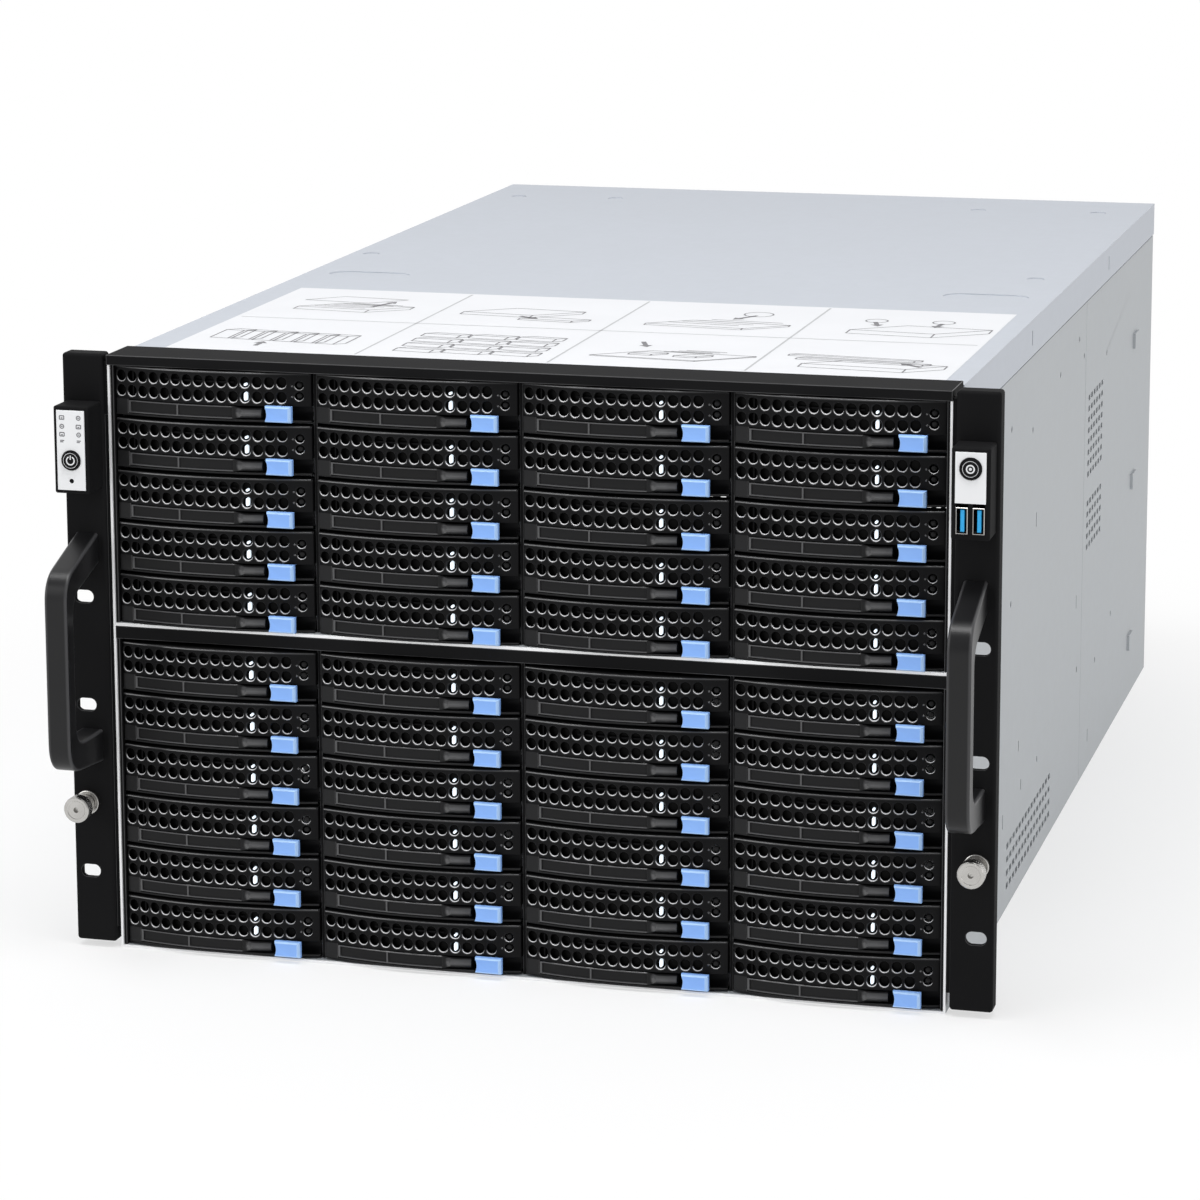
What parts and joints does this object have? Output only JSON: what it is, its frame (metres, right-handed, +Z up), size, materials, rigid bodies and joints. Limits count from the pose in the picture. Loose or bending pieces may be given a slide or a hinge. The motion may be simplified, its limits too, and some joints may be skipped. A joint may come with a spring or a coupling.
{
  "type": "rackmount server chassis",
  "caption": "Seven-unit rack chassis with a wall of perforated hot-swap disk carriers, side pull handles, ear control panels, lift-off cover, exhaust fans and plug-in power supplies.",
  "frame": {"origin": "on the underside, on the centre line, in the plane where the rims of the rack ears bear on the rack posts", "axes": "+X to the right seen from the front, +Y to the rear, +Z up"},
  "size_m": [0.4826, 0.808, 0.3134],
  "materials": {
    "zinc_steel": "satin galvanised sheet",
    "cover_steel": "pale grey satin",
    "black_steel": "black powder coat",
    "black_plastic": "fine matt texture",
    "blue_plastic": "satin",
    "nickel": "nickel plate",
    "board": "solder mask",
    "white_plate": "silver white film",
    "port_metal": "plated"
  },
  "bodies": {
    "chassis": {"backplane_connectors": "black_plastic", "backplanes": "board", "base_pan": "zinc_steel", "chassis_screws": "nickel", "drive_cage_walls": "zinc_steel", "fan_housings": "black_plastic", "id_panel_housing": "black_plastic", "id_panel_plate": "white_plate", "io_shield": "zinc_steel", "left_handle": "black_steel", "left_rack_ear": "black_steel", "left_side": "zinc_steel", "lower_front_frame": "black_steel", "mid_shelf": "zinc_steel", "motherboard_tray": "zinc_steel", "parked_bezels": "black_plastic", "parked_latches": "blue_plastic", "parked_levers": "black_plastic", "parked_trays": "zinc_steel", "psu_cage": "zinc_steel", "rear_panel": "zinc_steel", "right_handle": "black_steel", "right_rack_ear": "black_steel", "right_side": "zinc_steel", "screw_collars": "nickel", "slot_covers": "zinc_steel", "status_panel_housing": "black_plastic", "status_panel_plate": "white_plate", "upper_front_frame": "black_steel", "usb_ports": "port_metal"},
    "carrier_1": {"carrier_1_tray": "zinc_steel", "carrier_1_bezel": "black_plastic"},
    "lever_1": {"carrier_1_lever": "black_plastic"},
    "latch_1": {"carrier_1_latch": "blue_plastic"},
    "carrier_2": {"carrier_2_tray": "zinc_steel", "carrier_2_bezel": "black_plastic"},
    "lever_2": {"carrier_2_lever": "black_plastic"},
    "latch_2": {"carrier_2_latch": "blue_plastic"},
    "carrier_3": {"carrier_3_tray": "zinc_steel", "carrier_3_bezel": "black_plastic"},
    "lever_3": {"carrier_3_lever": "black_plastic"},
    "latch_3": {"carrier_3_latch": "blue_plastic"},
    "carrier_4": {"carrier_4_tray": "zinc_steel", "carrier_4_bezel": "black_plastic"},
    "lever_4": {"carrier_4_lever": "black_plastic"},
    "latch_4": {"carrier_4_latch": "blue_plastic"},
    "cover": {"top_cover": "cover_steel"},
    "power_button_body": {"power_button": "black_plastic"},
    "reset_button_body": {"reset_button": "black_plastic"},
    "id_button_body": {"id_button": "black_plastic"},
    "left_screw": {"left_thumbscrew": "nickel"},
    "right_screw": {"right_thumbscrew": "nickel"},
    "left_rotor": {"fan_rotor_left": "black_plastic"},
    "middle_rotor": {"fan_rotor_middle": "black_plastic"},
    "right_rotor": {"fan_rotor_right": "black_plastic"},
    "lower_supply": {"lower_power_supply": "zinc_steel"},
    "lower_supply_catch": {"lower_supply_latch": "blue_plastic"},
    "upper_supply": {"upper_power_supply": "zinc_steel"},
    "upper_supply_catch": {"upper_supply_latch": "blue_plastic"}
  },
  "joints": [
    {"name": "carrier_1_slide", "type": "slide", "parent": "chassis", "child": "carrier_1", "axis": [0, -1, 0], "range_m": [0, 0.16]},
    {"name": "carrier_1_lever", "type": "hinge", "parent": "carrier_1", "child": "lever_1", "pos_m": [-0.20495, -0.00544, 0.1153], "axis": [0, 0, -1], "range_deg": [0, 62]},
    {"name": "carrier_1_latch", "type": "slide", "parent": "carrier_1", "child": "latch_1", "axis": [1, 0, 0], "range_m": [0, 0.003], "stiffness_N_per_m": 400},
    {"name": "carrier_2_slide", "type": "slide", "parent": "chassis", "child": "carrier_2", "axis": [0, -1, 0], "range_m": [0, 0.16]},
    {"name": "carrier_2_lever", "type": "hinge", "parent": "carrier_2", "child": "lever_2", "pos_m": [-0.09715, -0.00544, 0.2053], "axis": [0, 0, -1], "range_deg": [0, 62]},
    {"name": "carrier_2_latch", "type": "slide", "parent": "carrier_2", "child": "latch_2", "axis": [1, 0, 0], "range_m": [0, 0.003], "stiffness_N_per_m": 400},
    {"name": "carrier_3_slide", "type": "slide", "parent": "chassis", "child": "carrier_3", "axis": [0, -1, 0], "range_m": [0, 0.16]},
    {"name": "carrier_3_lever", "type": "hinge", "parent": "carrier_3", "child": "lever_3", "pos_m": [0.01065, -0.00544, 0.0882], "axis": [0, 0, -1], "range_deg": [0, 62]},
    {"name": "carrier_3_latch", "type": "slide", "parent": "carrier_3", "child": "latch_3", "axis": [1, 0, 0], "range_m": [0, 0.003], "stiffness_N_per_m": 400},
    {"name": "carrier_4_slide", "type": "slide", "parent": "chassis", "child": "carrier_4", "axis": [0, -1, 0], "range_m": [0, 0.16]},
    {"name": "carrier_4_lever", "type": "hinge", "parent": "carrier_4", "child": "lever_4", "pos_m": [0.11845, -0.00544, 0.2595], "axis": [0, 0, -1], "range_deg": [0, 62]},
    {"name": "carrier_4_latch", "type": "slide", "parent": "carrier_4", "child": "latch_4", "axis": [1, 0, 0], "range_m": [0, 0.003], "stiffness_N_per_m": 400},
    {"name": "top_cover_lift", "type": "slide", "parent": "chassis", "child": "cover", "axis": [0, 0, 1], "range_m": [0, 0.25]},
    {"name": "power_button_press", "type": "slide", "parent": "chassis", "child": "power_button_body", "axis": [0, 1, 0], "range_m": [0, 0.0008], "stiffness_N_per_m": 1500},
    {"name": "reset_button_press", "type": "slide", "parent": "chassis", "child": "reset_button_body", "axis": [0, 1, 0], "range_m": [0, 0.0005], "stiffness_N_per_m": 1500},
    {"name": "id_button_press", "type": "slide", "parent": "chassis", "child": "id_button_body", "axis": [0, 1, 0], "range_m": [0, 0.0008], "stiffness_N_per_m": 1500},
    {"name": "left_thumbscrew_turn", "type": "hinge", "parent": "chassis", "child": "left_screw", "pos_m": [-0.23255, -0.02, 0.078], "axis": [0, 1, 0], "continuous": true},
    {"name": "right_thumbscrew_turn", "type": "hinge", "parent": "chassis", "child": "right_screw", "pos_m": [0.23255, -0.02, 0.078], "axis": [0, 1, 0], "continuous": true},
    {"name": "fan_left_spin", "type": "hinge", "parent": "chassis", "child": "left_rotor", "pos_m": [-0.138, 0.716, 0.232], "axis": [0, 1, 0], "continuous": true},
    {"name": "fan_middle_spin", "type": "hinge", "parent": "chassis", "child": "middle_rotor", "pos_m": [0, 0.716, 0.232], "axis": [0, 1, 0], "continuous": true},
    {"name": "fan_right_spin", "type": "hinge", "parent": "chassis", "child": "right_rotor", "pos_m": [0.138, 0.716, 0.232], "axis": [0, 1, 0], "continuous": true},
    {"name": "supply_lower_slide", "type": "slide", "parent": "chassis", "child": "lower_supply", "axis": [0, 1, 0], "range_m": [0, 0.17]},
    {"name": "supply_lower_latch", "type": "slide", "parent": "lower_supply", "child": "lower_supply_catch", "axis": [-1, 0, 0], "range_m": [0, 0.003], "stiffness_N_per_m": 400},
    {"name": "supply_upper_slide", "type": "slide", "parent": "chassis", "child": "upper_supply", "axis": [0, 1, 0], "range_m": [0, 0.17]},
    {"name": "supply_upper_latch", "type": "slide", "parent": "upper_supply", "child": "upper_supply_catch", "axis": [-1, 0, 0], "range_m": [0, 0.003], "stiffness_N_per_m": 400}
  ]
}
